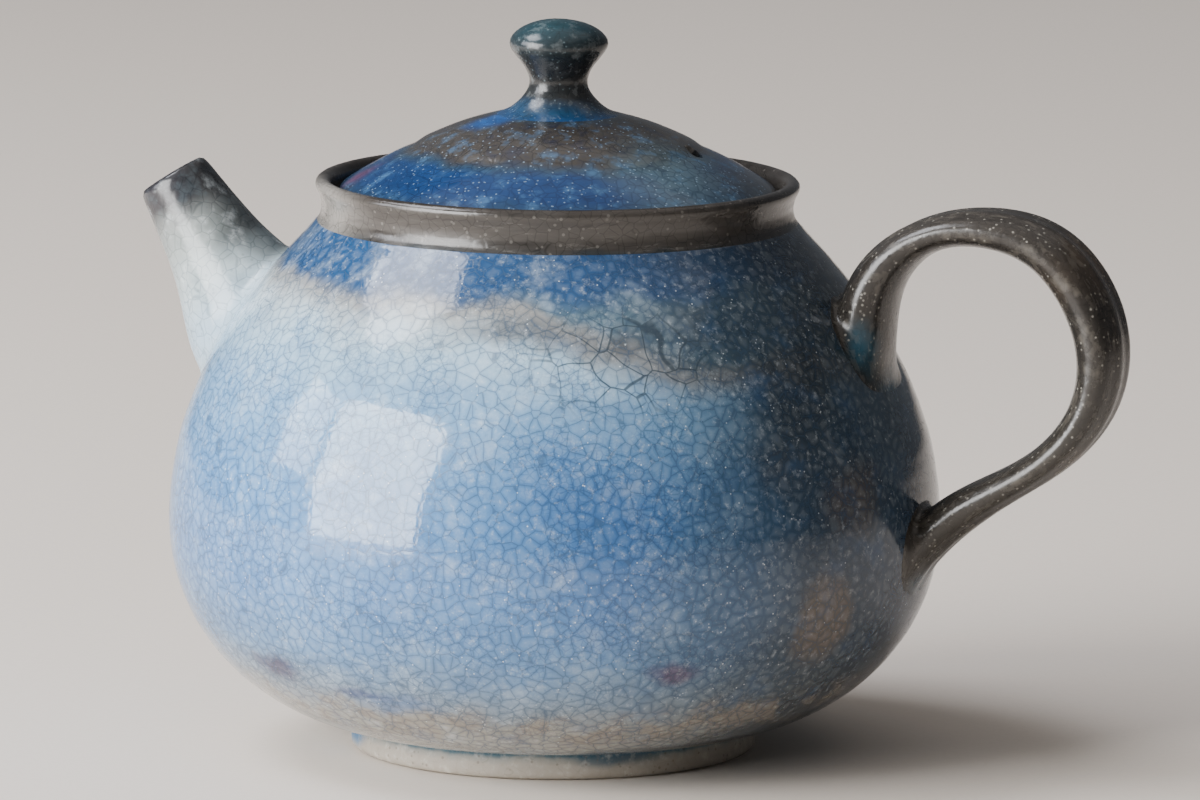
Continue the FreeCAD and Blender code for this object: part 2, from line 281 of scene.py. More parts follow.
# rounds the corners of an outline: evenly spaced points, then a few passes of averaging
def soften(outline, closed, spacing, passes):
    points = np.array(outline + ([outline[0]] if closed else []))
    run = np.concatenate([[0], np.cumsum(np.hypot(*np.diff(points, axis=0).T))])
    count = max(8, int(run[-1] / spacing))
    even = np.linspace(0, run[-1], count + 1)
    points = np.stack([np.interp(even, run, points[:, k]) for k in (0, 1)], axis=1)
    for _ in range(passes):
        if closed:
            ring = points[:-1]
            ring = (np.roll(ring, 1, 0) + 2 * ring + np.roll(ring, -1, 0)) / 4
            points = np.vstack([ring, ring[:1]])
        else:
            middle = (points[:-2] + 2 * points[1:-1] + points[2:]) / 4
            first, last = points[0].copy(), points[-1].copy()
            first[1], last[1] = points[1][1], points[-2][1]  # flat over the axis
            points = np.vstack([[first], middle, [last]])
    return points


def turned(name, points, tree, settings):
    mesh = bpy.data.meshes.new(name + "Outline")
    mesh.from_pydata([(r, 0, z) for r, z in points], [(i, i + 1) for i in range(len(points) - 1)], [])
    values = {
        "Steps Round": settings["stepsRound"],
        "Rows": len(points),
        "Ring Spacing": settings["ringSpacing"],
        "Ring Depth": settings["ringDepth"],
        "Ring Seed": settings["ringSeed"],
        "Out Of Round": outOfRound,
    }
    piece = outward(settle(name, mesh, tree, values))
    print(name, "turned:", len(piece.data.polygons), "faces")
    return piece


# marks on the points of a piece, which its material reads
def mark(piece, name, values):
    layer = piece.data.attributes.new(name, "FLOAT", "POINT")
    layer.data.foreach_set("value", np.asarray(values, dtype=np.float32))


def pointsOf(piece):
    co = np.zeros(len(piece.data.vertices) * 3)
    piece.data.vertices.foreach_get("co", co)
    return co.reshape(-1, 3)


# a straight round cutter from one point to another
def bore(piece, start, end, radius):
    bm = bmesh.new()
    bmesh.ops.create_cone(
        bm, cap_ends=True, segments=40, radius1=radius, radius2=radius, depth=(end - start).length)
    turn = (end - start).to_track_quat("Z", "Y").to_matrix().to_4x4()
    bmesh.ops.transform(bm, matrix=Matrix.Translation((start + end) / 2) @ turn, verts=bm.verts)
    mesh = bpy.data.meshes.new("borer")
    bm.to_mesh(mesh)
    bm.free()
    borer = newPiece("borer", mesh)
    modifier = piece.modifiers.new("bore", "BOOLEAN")
    modifier.operation = "DIFFERENCE"
    modifier.solver = "EXACT"
    modifier.object = borer
    bpy.context.view_layer.update()
    seen = piece.evaluated_get(bpy.context.evaluated_depsgraph_get())
    plain = bpy.data.meshes.new_from_object(seen)
    piece.modifiers.clear()
    piece.data = plain
    bpy.data.objects.remove(borer)


# a skin over rings of points, closed at both ends with a cap, or by joining the last ring to the first
def skinOver(name, rings, joinEnds):
    count = len(rings[0])
    points = [tuple(p) for ring in rings for p in ring]
    faces = []
    for i in range(len(rings) if joinEnds else len(rings) - 1):
        for j in range(count):
            k = (j + 1) % count
            n = (i + 1) % len(rings)
            faces.append((i * count + j, i * count + k, n * count + k, n * count + j))
    if not joinEnds:
        faces.append(tuple(range(count)))
        faces.append(tuple(range(len(points) - count, len(points)))[::-1])
    mesh = bpy.data.meshes.new(name)
    mesh.from_pydata(points, [], faces)
    for polygon in mesh.polygons:
        polygon.use_smooth = True
    return outward(newPiece(name, mesh))


# Lines that run down a limb to the pot are stopped at the skin and swept out into a hollow fillet.
# lines[j] is one line of points from the free part to the root; they go round the limb in order.
def sweepOntoSkin(lines, radius, steps, tuck):
    feet, heights = [], []
    for line in lines:
        over = np.array([overSkin(p)[0] for p in line])
        cross = next(i for i in range(len(over)) if over[i] <= 0)
        t = over[cross - 1] / (over[cross - 1] - over[cross])
        feet.append(line[cross - 1] + t * (line[cross] - line[cross - 1]))
        heights.append((over, cross))
    feet = np.array(feet)
    middle = feet.mean(0)
    swept = []
    for j, line in enumerate(lines):
        over, cross = heights[j]
        normal = overSkin(feet[j])[1]
        side = np.cross(normal, feet[(j + 1) % len(lines)] - feet[j - 1])
        side -= normal * (side @ normal)
        side /= np.linalg.norm(side)
        if side @ (feet[j] - middle) < 0:
            side = -side
        top = next((i for i in range(cross, -1, -1) if over[i] >= radius), 0)
        stretch = over[top:cross + 1]
        arcPoints = []
        for k in range(1, steps + 1):
            angle = math.pi / 2 * k / steps
            wanted = radius * (1 - math.sin(angle))
            base = np.array([np.interp(-wanted, -stretch, line[top:cross + 1, c]) for c in range(3)])
            spread = base + side * radius * (1 - math.cos(angle))
            lift, up = overSkin(spread)
            arcPoints.append(spread + up * (wanted - lift))
        under = arcPoints[-1] + side * 2 * tuck
        lift, up = overSkin(under)
        arcPoints.append(under - up * (lift + tuck))
        swept.append((top, arcPoints))
    return swept


# evenly spaced points along part of a line
def evenly(line, count):
    run = np.concatenate([[0], np.cumsum(np.linalg.norm(np.diff(line, axis=0), axis=1))])
    at = np.linspace(0, run[-1], count)
    return np.stack([np.interp(at, run, line[:, c]) for c in range(line.shape[1])], axis=1)


# the smooth curve through values given at some places, which bends as little as it can, read at other places
def bent(places, values, at):
    places, values = np.asarray(places, dtype=float), np.asarray(values, dtype=float)
    n, gap = len(places), np.diff(places)
    left, right = np.eye(n), np.zeros_like(values)
    for i in range(1, n - 1):
        left[i, i - 1:i + 2] = gap[i - 1], 2 * (gap[i - 1] + gap[i]), gap[i]
        right[i] = 6 * ((values[i + 1] - values[i]) / gap[i] - (values[i] - values[i - 1]) / gap[i - 1])
    bend = np.linalg.solve(left, right)
    result = []
    for s in at:
        i = min(max(int(np.searchsorted(places, s, side="right")) - 1, 0), n - 2)
        u, v, h = places[i + 1] - s, s - places[i], gap[i]
        result.append(bend[i] * u ** 3 / (6 * h) + bend[i + 1] * v ** 3 / (6 * h)
                      + (values[i] / h - bend[i] * h / 6) * u + (values[i + 1] / h - bend[i + 1] * h / 6) * v)
    return np.array(result)


def through(points, count):
    points = np.asarray(points, dtype=float)
    run = np.concatenate([[0], np.cumsum(np.linalg.norm(np.diff(points, axis=0), axis=1))])
    return bent(run, points, np.linspace(0, run[-1], count))


thrown = thrownTree()

# the pot's body

bodySizes = {
    "stepsRound": 360,
    "spacing": 0.0008,      # between points of the outline
    "softness": 3,          # passes that round its corners
    "ringSpacing": 0.0042,  # between throwing rings
    "ringDepth": 0.00007,
    "ringSeed": 3.7,
    "neckInCollar": 0.0009,  # how far the neck stands up inside the collar
    "linerFrom": 0.0019,    # how far inside the skin the liner glaze starts
    "linerAbove": 0.0025,   # and how far over the base
}

half, closed = outlineOf("body")
mouth = [i for i, (r, z) in enumerate(half) if z > neckHeight - 1e-5]
inner, outer = half[mouth[0]], half[mouth[-1]]
lift = bodySizes["neckInCollar"]
half = (half[:mouth[0]] + [(inner[0] + 0.0003, neckHeight - 0.0002), (inner[0] + 0.0007, neckHeight + lift),
                           (outer[0] - 0.0001, neckHeight + lift), (outer[0] + 0.0002, neckHeight)] + half[
                               mouth[-1] + 1:])
half = soften(half, closed, bodySizes["spacing"], bodySizes["softness"])
potWall = turned("potWall", half, thrown, bodySizes)


# the foot ring

footSizes = {
    "stepsRound": 256,
    "spacing": 0.0003,
    "softness": 4,
    "ringSpacing": 0.0015,
    "ringDepth": 0.00005,
    "ringSeed": 11.2,
    "intoBase": 0.0006,  # how far it goes up into the base
}

half, closed = outlineOf("foot_ring")
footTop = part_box("foot_ring")[1].z
half = [(r, z + footSizes["intoBase"] if z > footTop - 0.0001 else z) for r, z in half]
footRing = turned(
    "footRing", soften(half, closed, footSizes["spacing"], footSizes["softness"]), thrown, footSizes)


# the collar and its gallery

collarSizes = {
    "stepsRound": 320,
    "spacing": 0.00035,
    "softness": 4,
    "ringSpacing": 0.0016,
    "ringDepth": 0.00007,
    "ringSeed": 5.1,
    "flareAtFoot": 0.0005,  # how far its foot spreads onto the shoulder
}

half, closed = outlineOf("collar")
foot = max(range(len(half)), key=lambda i: half[i][0] - 3 * half[i][1])
r0, z0 = half[foot]
flare = collarSizes["flareAtFoot"]
spread = [(r0 + flare * 0.9, z0 - flare * 1.9), (r0 + flare * 0.9, z0 - flare * 0.8), (
    r0 + flare * 0.1, z0 + flare * 0.4)]
if half[(foot + 1) % len(half)][1] < z0 + 1e-6:
    spread = spread[::-1]
half = half[:foot] + spread + half[foot + 1:]
collarRing = turned("collarRing", soften(
    half, closed, collarSizes["spacing"], collarSizes["softness"]), thrown, collarSizes)


# the lid: plate, flange and knob, thrown as one

lidSizes = {
    "stepsRound": 320,
    "spacing": 0.0004,
    "softness": 4,
    "ringSpacing": 0.0019,
    "ringDepth": 0.00009,
    "ringSeed": 8.3,
    "knobTuck": 0.0001,  # how far the knob's foot goes under the glaze of the lid
}

plateHalf, knobHalf = outlineOf("lid_plate")[0], outlineOf("knob")[0]
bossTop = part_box("knob")[0].z
knobFoot = max(r for r, z in knobHalf if z < bossTop + 1e-5)
knobUpper = [p for p in knobHalf if p[1] > bossTop + 1e-5]
plateRest = plateHalf[max(i for i, (r, z) in enumerate(plateHalf) if z > bossTop - 1e-5) + 1:]
whole = soften(
    knobUpper + [(knobFoot, bossTop)] + plateRest, False, lidSizes["spacing"], lidSizes["softness"])
split = next(i for i in range(len(whole)) if whole[i][0] >= knobFoot and whole[i][1] < bossTop + 0.001)
tuck = lidSizes["knobTuck"]
under = [(whole[split + k][0], whole[split + k][1] - tuck * k) for k in (1, 2, 3)]
knobPoints = list(map(tuple, whole[:split + 1])) + under + [
    (under[-1][0] - 0.001, under[-1][1] - 0.0005), (0, under[-1][1] - 0.0005)]
over = [(whole[split - k][0], whole[split - k][1] - tuck * k) for k in (3, 2, 1)]
platePoints = [(0, over[0][1] - 0.0002), (over[0][0] - 0.001, over[0][1] - 0.0002)] + over + list(
    map(tuple, whole[split:]))
knobTurned = turned("knobTurned", evenly(np.array(knobPoints), len(knobPoints)), thrown, lidSizes)
lidPlate = turned("lidPlate", evenly(np.array(platePoints), len(platePoints)), thrown, lidSizes)

flangeSizes = {
    "stepsRound": 256,
    "spacing": 0.00035,
    "softness": 4,
    "ringSpacing": 0.0018,
    "ringDepth": 0.00004,
    "ringSeed": 2.9,
    "intoPlate": 0.0006,
}

half, closed = outlineOf("lid_flange")
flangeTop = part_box("lid_flange")[1].z
half = [(r, z + flangeSizes["intoPlate"] if z > flangeTop - 0.0001 else z) for r, z in half]
lidFlange = turned(
    "lidFlange", soften(half, closed, flangeSizes["spacing"], flangeSizes["softness"]), thrown, flangeSizes)

# the air hole, beside the boss on the handle's side
ventSizes = {"fromAxis": 0.0186, "radius": 0.0012, "from": 0.070, "to": 0.090}
vent = [Vector((ventSizes["fromAxis"], 0, ventSizes[end])) for end in ("from", "to")]
bore(lidPlate, *vent, ventSizes["radius"])
lidPlate.data.set_sharp_from_angle(angle=math.radians(40))


# the spout

spoutSizes = {
    "lean": 56.5,           # degrees up from the table
    "stepsRound": 128,
    "spacing": 0.0004,
    "softness": 3,
    "fillet": 0.0016,       # the clay worked into the corner at its root
    "filletSteps": 8,
    "tuck": 0.00015,
    "rootUnderNeck": 0.013,
    "wallHole": 0.0064,     # radius of the hole through the wall behind it
    "holeOut": 0.004,       # how far the borer starts outside the skin
    "holeIn": 0.0085,       # and how far it goes in
    "rootTrim": 0.0012,     # the end of the outline that isn't read
    "slopeOver": 0.003,     # length that its slope at the root is read over
    "reach": 0.040,         # from the mouth to well inside the pot
    "boreInto": 0.0008,     # how far the bore runs on under the skin
    "rows": 34,
}

lean = math.radians(spoutSizes["lean"])
spoutAlong = np.array([-math.cos(lean), 0, math.sin(lean)])
spoutMesh = np.array([v.co for v in frame["nodes"]["spout"].data.vertices])
reach = spoutMesh @ spoutAlong
tip = spoutMesh[reach > reach.max() - 0.0001]
tipMiddle = np.array([(tip[:, 0].max() + tip[:, 0].min()) / 2, 0, (tip[:, 2].max() + tip[:, 2].min()) / 2])
quaternion = Vector(spoutAlong).to_track_quat("Z", "Y")
toLocal = (Matrix.Translation(Vector(tipMiddle)) @ quaternion.to_matrix().to_4x4()).inverted()
toWorld = np.array(toLocal.inverted())
half = np.array(outlineOf("spout", toLocal)[0])
if half[1][1] > -0.0001:  # the outline starts at the tip of the bore: it should go down the bore first
    half = np.vstack([half[:1], half[:0:-1]])
deepest = int(np.argmin(half[:, 1]))
boreTable = sorted((z, r) for r, z in half[:deepest] if z > half[deepest][1] + spoutSizes["rootTrim"])
skinTable = sorted((z, r) for r, z in half[deepest:] if z > half[deepest][1] + spoutSizes["rootTrim"])


# the radius at one place along the spout; past the end of the outline it goes on at the same slope
def reading(table, z):
    z0 = table[0]
    z1 = next(p for p in table if p[0] > z0[0] + spoutSizes["slopeOver"])
    if z < z0[0]:
        return z0[1] + (z0[0] - z) * (z0[1] - z1[1]) / (z1[0] - z0[0])
    return float(np.interp(z, [p[0] for p in table], [p[1] for p in table]))


heights = np.arange(0.0, -spoutSizes["reach"], -spoutSizes["spacing"])
lipLine = [(reading(boreTable, z), z) for z in heights[::-1]] + [(reading(skinTable, z), z) for z in heights]
lipLine = soften(lipLine, False, spoutSizes["spacing"], spoutSizes["softness"])
crest = int(np.argmax(lipLine[:, 1]))
lines, bores = [], []
for j in range(spoutSizes["stepsRound"]):
    angle = 2 * math.pi * j / spoutSizes["stepsRound"]
    local = np.stack([lipLine[:, 0] * math.cos(angle), lipLine[:, 0] * math.sin(angle), lipLine[
        :, 1], np.ones(len(lipLine))], axis=1)
    world = (toWorld @ local.T).T[:, :3]
    lines.append(world[crest:])
    bores.append(world[:crest + 1][::-1])
swept = sweepOntoSkin(lines, spoutSizes["fillet"], spoutSizes["filletSteps"], spoutSizes["tuck"])
rings = []
for j, line in enumerate(lines):
    top, arcPoints = swept[j]
    outer = np.vstack([evenly(line[:top + 1], spoutSizes["rows"]), arcPoints])
    over = [overSkin(p)[0] for p in bores[j]]
    end = next(i for i in range(len(over)) if over[i] <= -spoutSizes["boreInto"])
    inner = evenly(bores[j][:end + 1], spoutSizes["rows"])
    rings.append(np.vstack([inner[::-1][:-1], outer]))
rings = np.array(rings).transpose(1, 0, 2)
spoutTube = skinOver("spoutTube", rings, True)
print("spout pulled:", len(spoutTube.data.polygons), "faces")


# the hole behind the spout and the strainer over it

root = tipMiddle - spoutAlong * (tipMiddle[2] - neckHeight + spoutSizes["rootUnderNeck"]) / spoutAlong[2]
rootSkin = overSkin(root)[1]
holeStart, holeEnd = root + rootSkin * spoutSizes["holeOut"], root - rootSkin * spoutSizes["holeIn"]
bore(potWall, Vector(holeStart), Vector(holeEnd), spoutSizes["wallHole"])
potWall.data.set_sharp_from_angle(angle=math.radians(40))
places = pointsOf(potWall)
depth = np.interp(places[:, 2], skinHeights, skinRadii) - np.hypot(places[:, 0], places[:, 1])
lined = (depth > bodySizes["linerFrom"]) & (places[:, 2] > baseHeight + bodySizes["linerAbove"])
mark(potWall, "inside", lined)


# the handle

handleSizes = {
    "reach": 0.0238,           # from the belly out to the middle of the strap
    "topUnderRim": 0.0037,
    "upperEndUnderNeck": 0.0215,
    "lowerEndUnderBelly": 0.0077,
    "bellyHeight": 0.0297,
    "rootDepth": 0.0028,
    "width": 0.0120,
    "thickness": 0.0056,
    # the loop, as shares of the reach and of the height from the belly to the top
    "loop": [(-0.34, 0.66), (-0.29, 0.80), (-0.15, 0.91), (0.06, 0.98), (0.33, 1.0), (0.66, 0.95),
             (0.90, 0.80), (0.99, 0.62), (0.94, 0.46), (0.71, 0.29), (0.33, 0.15), (0.06, 0.03)],
    # share of the length, share of the width, share of the thickness
    "strap": [(0, 1.20, 0.45), (0.08, 1.15, 1.20), (0.16, 1.06, 1.16), (0.24, 1.0, 0.86), (0.34, 1.0, 0.92),
              (0.46, 1.02, 1.18), (0.58, 1.0, 1.10), (0.68, 0.94, 0.88), (0.78, 0.90, 0.82), (0.90, 1.0, 1.0),
              (1, 1.20, 0.45)],
    "groove": 0.05,            # depth of the two grooves along the strap, as a share of its thickness
    "stepsRound": 72,
    "stepsAlong": 260,
    "rowsUp": 110,             # kept from the middle to the upper root
    "rowsDown": 90,            # and to the lower root
    "roundness": 0.92,         # 1 is an oval section, less is squarer
    "fillet": 0.0016,
    "filletSteps": 8,
    "tuck": 0.00015,
}

loopTop = rimHeight - handleSizes["topUnderRim"]
upperEnd = neckHeight - handleSizes["upperEndUnderNeck"]
lowerEnd = handleSizes["bellyHeight"] - handleSizes["lowerEndUnderBelly"]
path = [(skinAt(upperEnd) - handleSizes["rootDepth"], upperEnd)]
path += [(bellyRadius + x * handleSizes["reach"], handleSizes["bellyHeight"] + z * (
    loopTop - handleSizes["bellyHeight"]))
         for x, z in handleSizes["loop"]]
path += [(skinAt(lowerEnd) - handleSizes["rootDepth"], lowerEnd)]
path = through(path, handleSizes["stepsAlong"])
share = np.linspace(0, 1, len(path))
stations = np.array(handleSizes["strap"])
section = bent(stations[:, 0], stations[:, 1:], share)
widths, thicknesses = section[:, 0] * handleSizes["width"] / 2, section[:, 1] * handleSizes["thickness"] / 2
forward = np.gradient(path, axis=0)
forward /= np.linalg.norm(forward, axis=1)[:, None]
lines = []
for j in range(handleSizes["stepsRound"]):
    angle = 2 * math.pi * j / handleSizes["stepsRound"]
    across = math.copysign(abs(math.cos(angle)) ** handleSizes["roundness"], math.cos(angle))
    outwards = math.copysign(abs(math.sin(angle)) ** handleSizes["roundness"], math.sin(angle))
    grooves = 1 - handleSizes["groove"] * (1 + math.cos(across * math.pi * 3)) * (outwards > 0) * outwards
    thick = thicknesses * outwards * grooves
    line = np.stack(
        [path[:, 0] + forward[:, 1] * -thick, widths * across, path[:, 1] + forward[:, 0] * thick], axis=1)
    lines.append(line)
middle = len(path) // 2
joint = handleSizes["fillet"], handleSizes["filletSteps"], handleSizes["tuck"]
upper = sweepOntoSkin([line[:middle + 1][::-1] for line in lines], *joint)
lower = sweepOntoSkin([line[middle:] for line in lines], *joint)
rings = []
for j, line in enumerate(lines):
    up = np.vstack([evenly(line[:middle + 1][::-1][:upper[j][0] + 1], handleSizes["rowsUp"]), upper[j][1]])
    down = np.vstack([evenly(line[middle:][:lower[j][0] + 1], handleSizes["rowsDown"]), lower[j][1]])
    rings.append(np.vstack([up[::-1][:-1], down]))
rings = np.array(rings).transpose(1, 0, 2)
strapHandle = skinOver("strapHandle", rings, False)
print("handle pulled:", len(strapHandle.data.polygons), "faces")


# the strainer: a small dome of clay with rings of holes

strainerSizes = {
    "radius": 0.0094,
    "wall": 0.0016,
    "holeRadius": 0.0009,
    "rings": [(22, 6), (44, 12)],  # degrees from the middle, number of holes
    "centreUnderSkin": 0.0032,
    "stepsRound": 96,
    "cap": 84,  # degrees from the middle to the edge
    "rows": 30,
}


def strainerTree():
    tree = bpy.data.node_groups.new("piercedDome", "GeometryNodeTree")
    tree.is_modifier = True
    face = tree.interface
    face.new_socket("Geometry", in_out="INPUT", socket_type="NodeSocketGeometry")
    face.new_socket("Radius", in_out="INPUT", socket_type="NodeSocketFloat").default_value = 0.009
    face.new_socket("Wall", in_out="INPUT", socket_type="NodeSocketFloat").default_value = 0.0016
    face.new_socket("Hole Radius", in_out="INPUT", socket_type="NodeSocketFloat").default_value = 0.0009
    face.new_socket("Material", in_out="INPUT", socket_type="NodeSocketMaterial")
    face.new_socket("Geometry", in_out="OUTPUT", socket_type="NodeSocketGeometry")
    given = add(tree, "NodeGroupInput").outputs
    level = add(tree, "ShaderNodeCombineXYZ", None, {"Z": given["Radius"]})
    places = [add(
        tree, "GeometryNodeMeshLine", None, {"Count": 1, "Start Location": level.outputs[0]}).outputs[0]]
    for angle, holes in strainerSizes["rings"]:
        out = add(tree, "ShaderNodeMath", {"operation": "MULTIPLY"}, {
            0: given["Radius"], 1: math.sin(math.radians(angle))})
        up = add(tree, "ShaderNodeMath", {"operation": "MULTIPLY"}, {
            0: given["Radius"], 1: math.cos(math.radians(angle))})
        ring = add(tree, "GeometryNodeMeshCircle", None, {"Vertices": holes, "Radius": out})
        lift = add(tree, "ShaderNodeCombineXYZ", None, {"Z": up})
        lifted = add(tree, "GeometryNodeTransform", None, {"Geometry": ring, "Translation": lift})
        places.append(lifted.outputs[0])
    spots = add(tree, "GeometryNodeJoinGeometry")
    for place in places:
        tree.links.new(place, spots.inputs[0])
    deep = add(tree, "ShaderNodeMath", {"operation": "MULTIPLY"}, {0: given["Wall"], 1: 4.0})
    pin = add(tree, "GeometryNodeMeshCylinder", None, {
        "Vertices": 20, "Radius": given["Hole Radius"], "Depth": deep})
    way = add(tree, "FunctionNodeAlignRotationToVector", {"axis": "Z"}, {
        "Vector": add(tree, "GeometryNodeInputPosition")})
    pins = add(tree, "GeometryNodeInstanceOnPoints", None, {
        "Points": spots, "Instance": pin, "Rotation": way})
    solid = add(tree, "GeometryNodeRealizeInstances", None, {"Geometry": pins})
    pierced = add(tree, "GeometryNodeMeshBoolean", {"operation": "DIFFERENCE", "solver": "EXACT"}, {
        "Mesh 1": given["Geometry"]})
    tree.links.new(solid.outputs[0], pierced.inputs["Mesh 2"])
    real = add(tree, "GeometryNodeRealizeInstances", None, {"Geometry": pierced})
    dressed = add(tree, "GeometryNodeSetMaterial", None, {"Geometry": real, "Material": given["Material"]})
    add(tree, "NodeGroupOutput", None, {"Geometry": dressed})
    return tree


# the dome is thrown round +Z, pierced, then turned to face into the pot
outerRadius, innerRadius = strainerSizes["radius"], strainerSizes["radius"] - strainerSizes["wall"]
sweep = np.radians(np.linspace(0, strainerSizes["cap"], strainerSizes["rows"]))
domeHalf = [(outerRadius * math.sin(a), outerRadius * math.cos(a)) for a in sweep]
domeHalf += [(innerRadius * math.sin(a), innerRadius * math.cos(a)) for a in sweep[::-1]]
dome = turned("dome", domeHalf, thrown, {
    "stepsRound": strainerSizes["stepsRound"], "ringSpacing": 0.003, "ringDepth": 0.0, "ringSeed": 1.0})
strainerDome = outward(settle("strainerDome", dome.data.copy(), strainerTree(), {
    "Radius": outerRadius, "Wall": strainerSizes["wall"], "Hole Radius": strainerSizes["holeRadius"]}))
bpy.data.objects.remove(dome)
centre = Vector(root - rootSkin * strainerSizes["centreUnderSkin"])
strainerDome.data.transform(
    Matrix.Translation(centre) @ Vector(-rootSkin).to_track_quat("Z", "Y").to_matrix().to_4x4())
strainerDome.data.set_sharp_from_angle(angle=math.radians(40))
print("strainer pierced:", len(strainerDome.data.polygons), "faces")


# what the glazes have in common

# a new material: its tree, its shader and the place on the pot in millimetres
def newMaterial(name):
    material = bpy.data.materials.new(name)
    material.use_nodes = True
    tree = material.node_tree
    tree.nodes.clear()
    shader = add(tree, "ShaderNodeBsdfPrincipled")
    add(tree, "ShaderNodeOutputMaterial", None, {"Surface": shader})
    place = add(tree, "ShaderNodeTexCoord").outputs["Object"]
    at = add(tree, "ShaderNodeVectorMath", {"operation": "SCALE"}, {0: place, "Scale": 1000.0})
    return material, tree, shader, at


# the place, pushed about by a noise of the given grain (mm) as far as the given reach (mm)
def strayed(tree, at, grain, reach, detail=2.0):
    noise = add(tree, "ShaderNodeTexNoise", None, {"Vector": at, "Scale": 1 / grain, "Detail": detail})
    centred = add(tree, "ShaderNodeVectorMath", {"operation": "SUBTRACT"}, {
        0: noise.outputs["Color"], 1: (0.5, 0.5, 0.5)})
    push = add(tree, "ShaderNodeVectorMath", {"operation": "SCALE"}, {0: centred, "Scale": 2 * reach})
    return add(tree, "ShaderNodeVectorMath", {"operation": "ADD"}, {0: at, 1: push})


# 1 where every value has gone from its first limit to its second, 0 before, with a soft step between
def mask(tree, *ranges):
    whole = None
    for value, first, second in ranges:
        part = add(tree, "ShaderNodeMapRange", {"interpolation_type": "SMOOTHSTEP"}, {
            "Value": value, "From Min": first, "From Max": second})
        if whole is not None:
            part = add(tree, "ShaderNodeMath", {"operation": "MULTIPLY"}, {0: whole, 1: part})
        whole = part
    return whole


# a blotch: 1 in the middle of an egg shape, fading out over its soft part
def blotch(tree, at, centre, size, soft):
    off = add(tree, "ShaderNodeVectorMath", {"operation": "SUBTRACT"}, {0: at, 1: centre})
    share = add(tree, "ShaderNodeVectorMath", {"operation": "DIVIDE"}, {0: off, 1: size})
    far = add(tree, "ShaderNodeVectorMath", {"operation": "LENGTH"}, {0: share}).outputs["Value"]
    return mask(tree, (far, 1.0, 1.0 - soft))


# lays a colour over another where a mask says, up to the given strength
def wash(tree, under, colour, where, strength=1.0):
    much = add(tree, "ShaderNodeMath", {"operation": "MULTIPLY", "use_clamp": True}, {0: where, 1: strength})
    over = paint(colour) if isinstance(colour, str) else colour
    return add(tree, "ShaderNodeMixRGB", None, {"Fac": much, "Color1": under, "Color2": over})


# deepens a colour with a tint where a mask says, up to the given strength
def steep(tree, under, tint, where, strength):
    deep = add(tree, "ShaderNodeMixRGB", {"blend_type": "MULTIPLY"}, {
        "Fac": 1.0, "Color1": under, "Color2": paint(tint)})
    return wash(tree, under, deep, where, strength)


# where on the pot's skin a blotch sits: degrees round from the handle, mm up
def onSkin(angle, height):
    out = skinAt(height * mm) / mm
    return (out * math.cos(math.radians(angle)), out * math.sin(math.radians(angle)), height)


# crazing: a net of fine cracks with cells of the given size (mm); gives the distance to the nearest crack
# in mm and a tone for each cell
def crazing(tree, at, cell, stray):
    bent = strayed(tree, at, cell * 1.6, stray, 1.0)
    net = add(
        tree, "ShaderNodeTexVoronoi", {"feature": "DISTANCE_TO_EDGE"}, {"Vector": bent, "Scale": 1 / cell})
    away = add(tree, "ShaderNodeMath", {"operation": "MULTIPLY"}, {0: net.outputs["Distance"], 1: cell})
    cells = add(tree, "ShaderNodeTexVoronoi", {"feature": "F1"}, {"Vector": bent, "Scale": 1 / cell})
    tone = add(tree, "ShaderNodeSeparateColor", None, {"Color": cells.outputs["Color"]})
    return away, tone.outputs["Red"]


# the surface relief of a thick glaze: pillows between cracks over slow waves
def relief(tree, shader, away, at, pillow, waves, grain):
    dome = mask(tree, (away, 0.0, 0.45))
    slow = add(tree, "ShaderNodeTexNoise", None, {"Vector": at, "Scale": 1 / grain, "Detail": 2.0})
    lower = add(tree, "ShaderNodeBump", None, {"Strength": 1.0, "Distance": waves * mm, "Height": slow})
    upper = add(tree, "ShaderNodeBump", None, {
        "Strength": 1.0, "Distance": pillow * mm, "Height": dome, "Normal": lower})
    tree.links.new(upper.outputs[0], shader.inputs["Normal"])


# thick blue glaze over stoneware, dipped twice and crazed as it cooled: glassy, milky between its cracks,
# and deeper where it ran and pooled

